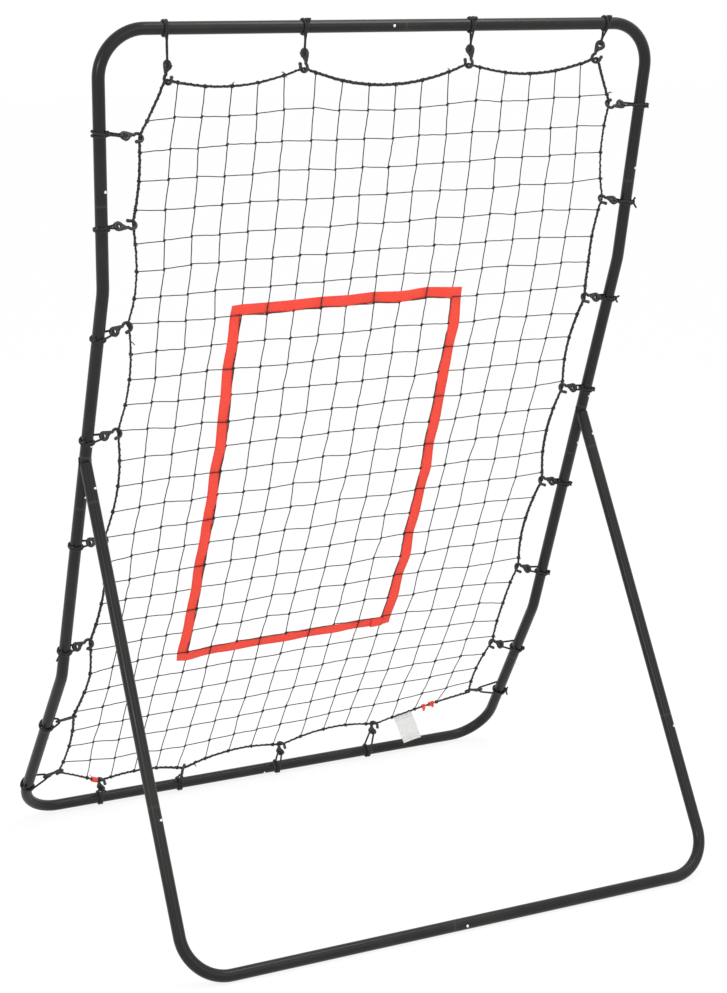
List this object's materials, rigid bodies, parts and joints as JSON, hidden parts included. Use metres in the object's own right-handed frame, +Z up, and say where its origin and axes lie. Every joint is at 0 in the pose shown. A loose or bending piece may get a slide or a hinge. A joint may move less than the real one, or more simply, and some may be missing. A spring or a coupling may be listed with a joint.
{
  "type": "pitching target net",
  "caption": "Bent tube frame on a U-shaped stand, with a knotted net held by hooked elastic ties and a red target ribbon woven into it.",
  "frame": {"origin": "on the floor, midway between the two sides and midway between the frame's foot bar and the stand's foot bar", "axes": "+Z up; +X to the right seen from the stand's side; the stand's foot bar lies towards -Y and the frame's foot bar towards +Y"},
  "size_m": [1.2571, 1.024, 1.8147],
  "materials": {
    "frame_tube": "satin black powder coat on steel tube",
    "button_steel": "bright polished dome",
    "tie_black": "black elastic cord and moulded hook",
    "rope_black": "braided black cord, lashed",
    "net_black": "knotted black twine",
    "ribbon_red": "woven orange-red webbing",
    "tag_white": "plain white cloth, blank"
  },
  "bodies": {
    "frame": {"top_corner_tube_left": "frame_tube", "upper_side_tube_left": "frame_tube", "side_y_joint_left": "frame_tube", "lower_side_tube_left": "frame_tube", "foot_corner_tube_left": "frame_tube", "stand_leg_left": "frame_tube", "stand_corner_tube_left": "frame_tube", "top_corner_tube_right": "frame_tube", "upper_side_tube_right": "frame_tube", "side_y_joint_right": "frame_tube", "lower_side_tube_right": "frame_tube", "foot_corner_tube_right": "frame_tube", "stand_leg_right": "frame_tube", "stand_corner_tube_right": "frame_tube", "net_tie_top_1": "tie_black", "net_tie_top_2": "tie_black", "net_tie_top_3": "tie_black", "net_tie_top_4": "tie_black", "net_tie_foot_1": "tie_black", "net_tie_foot_2": "tie_black", "net_tie_foot_3": "tie_black", "net_tie_foot_4": "tie_black", "net_tie_left_1": "tie_black", "net_tie_left_2": "tie_black", "net_tie_left_3": "tie_black", "net_tie_left_4": "tie_black", "net_tie_left_5": "tie_black", "net_tie_left_6": "tie_black", "net_tie_left_7": "tie_black", "net_tie_left_8": "tie_black", "net_tie_right_1": "tie_black", "net_tie_right_2": "tie_black", "net_tie_right_3": "tie_black", "net_tie_right_4": "tie_black", "net_tie_right_5": "tie_black", "net_tie_right_6": "tie_black", "net_tie_right_7": "tie_black", "net_tie_right_8": "tie_black", "border_rope": "rope_black", "net": "net_black", "target_ribbon": "ribbon_red", "blank_tag": "tag_white"},
    "snap_button_top": {"snap_button_top": "button_steel"},
    "snap_button_foot": {"snap_button_foot": "button_steel"},
    "snap_button_stand": {"snap_button_stand": "button_steel"},
    "snap_button_upper_left": {"snap_button_upper_left": "button_steel"},
    "snap_button_above_joint_left": {"snap_button_above_joint_left": "button_steel"},
    "snap_button_below_joint_left": {"snap_button_below_joint_left": "button_steel"},
    "snap_button_leg_top_left": {"snap_button_leg_top_left": "button_steel"},
    "snap_button_leg_foot_left": {"snap_button_leg_foot_left": "button_steel"},
    "snap_button_lower_left": {"snap_button_lower_left": "button_steel"},
    "snap_button_upper_right": {"snap_button_upper_right": "button_steel"},
    "snap_button_above_joint_right": {"snap_button_above_joint_right": "button_steel"},
    "snap_button_below_joint_right": {"snap_button_below_joint_right": "button_steel"},
    "snap_button_leg_top_right": {"snap_button_leg_top_right": "button_steel"},
    "snap_button_leg_foot_right": {"snap_button_leg_foot_right": "button_steel"},
    "snap_button_lower_right": {"snap_button_lower_right": "button_steel"}
  },
  "joints": [
    {"name": "press_top", "type": "slide", "parent": "frame", "child": "snap_button_top", "axis": [0, 1, 0], "range_m": [0, 0.0045], "stiffness_N_per_m": 1500},
    {"name": "press_foot", "type": "slide", "parent": "frame", "child": "snap_button_foot", "axis": [0, 0.788, 0.6157], "range_m": [0, 0.0045], "stiffness_N_per_m": 1500},
    {"name": "press_stand", "type": "slide", "parent": "frame", "child": "snap_button_stand", "axis": [0, 1, 0], "range_m": [0, 0.0045], "stiffness_N_per_m": 1500},
    {"name": "press_upper_left", "type": "slide", "parent": "frame", "child": "snap_button_upper_left", "axis": [-0.3815, 0.9181, 0.1074], "range_m": [0, 0.0045], "stiffness_N_per_m": 1500},
    {"name": "press_above_joint_left", "type": "slide", "parent": "frame", "child": "snap_button_above_joint_left", "axis": [-0.3954, 0.862, 0.3172], "range_m": [0, 0.0045], "stiffness_N_per_m": 1500},
    {"name": "press_below_joint_left", "type": "slide", "parent": "frame", "child": "snap_button_below_joint_left", "axis": [-0.3954, 0.862, 0.3172], "range_m": [0, 0.0045], "stiffness_N_per_m": 1500},
    {"name": "press_leg_top_left", "type": "slide", "parent": "frame", "child": "snap_button_leg_top_left", "axis": [-0.4271, 0.7864, -0.4463], "range_m": [0, 0.0045], "stiffness_N_per_m": 1500},
    {"name": "press_leg_foot_left", "type": "slide", "parent": "frame", "child": "snap_button_leg_foot_left", "axis": [-0.4271, 0.7864, -0.4463], "range_m": [0, 0.0045], "stiffness_N_per_m": 1500},
    {"name": "press_lower_left", "type": "slide", "parent": "frame", "child": "snap_button_lower_left", "axis": [-0.8758, 0.377, 0.3013], "range_m": [0, 0.0045], "stiffness_N_per_m": 1500},
    {"name": "press_upper_right", "type": "slide", "parent": "frame", "child": "snap_button_upper_right", "axis": [-0.3722, 0.9175, 0.1404], "range_m": [0, 0.0045], "stiffness_N_per_m": 1500},
    {"name": "press_above_joint_right", "type": "slide", "parent": "frame", "child": "snap_button_above_joint_right", "axis": [-0.3954, 0.862, 0.3172], "range_m": [0, 0.0045], "stiffness_N_per_m": 1500},
    {"name": "press_below_joint_right", "type": "slide", "parent": "frame", "child": "snap_button_below_joint_right", "axis": [-0.3954, 0.862, 0.3172], "range_m": [0, 0.0045], "stiffness_N_per_m": 1500},
    {"name": "press_leg_top_right", "type": "slide", "parent": "frame", "child": "snap_button_leg_top_right", "axis": [-0.4175, 0.7855, -0.4568], "range_m": [0, 0.0045], "stiffness_N_per_m": 1500},
    {"name": "press_leg_foot_right", "type": "slide", "parent": "frame", "child": "snap_button_leg_foot_right", "axis": [-0.4175, 0.7855, -0.4568], "range_m": [0, 0.0045], "stiffness_N_per_m": 1500},
    {"name": "press_lower_right", "type": "slide", "parent": "frame", "child": "snap_button_lower_right", "axis": [-0.8824, 0.4115, 0.2282], "range_m": [0, 0.0045], "stiffness_N_per_m": 1500}
  ]
}
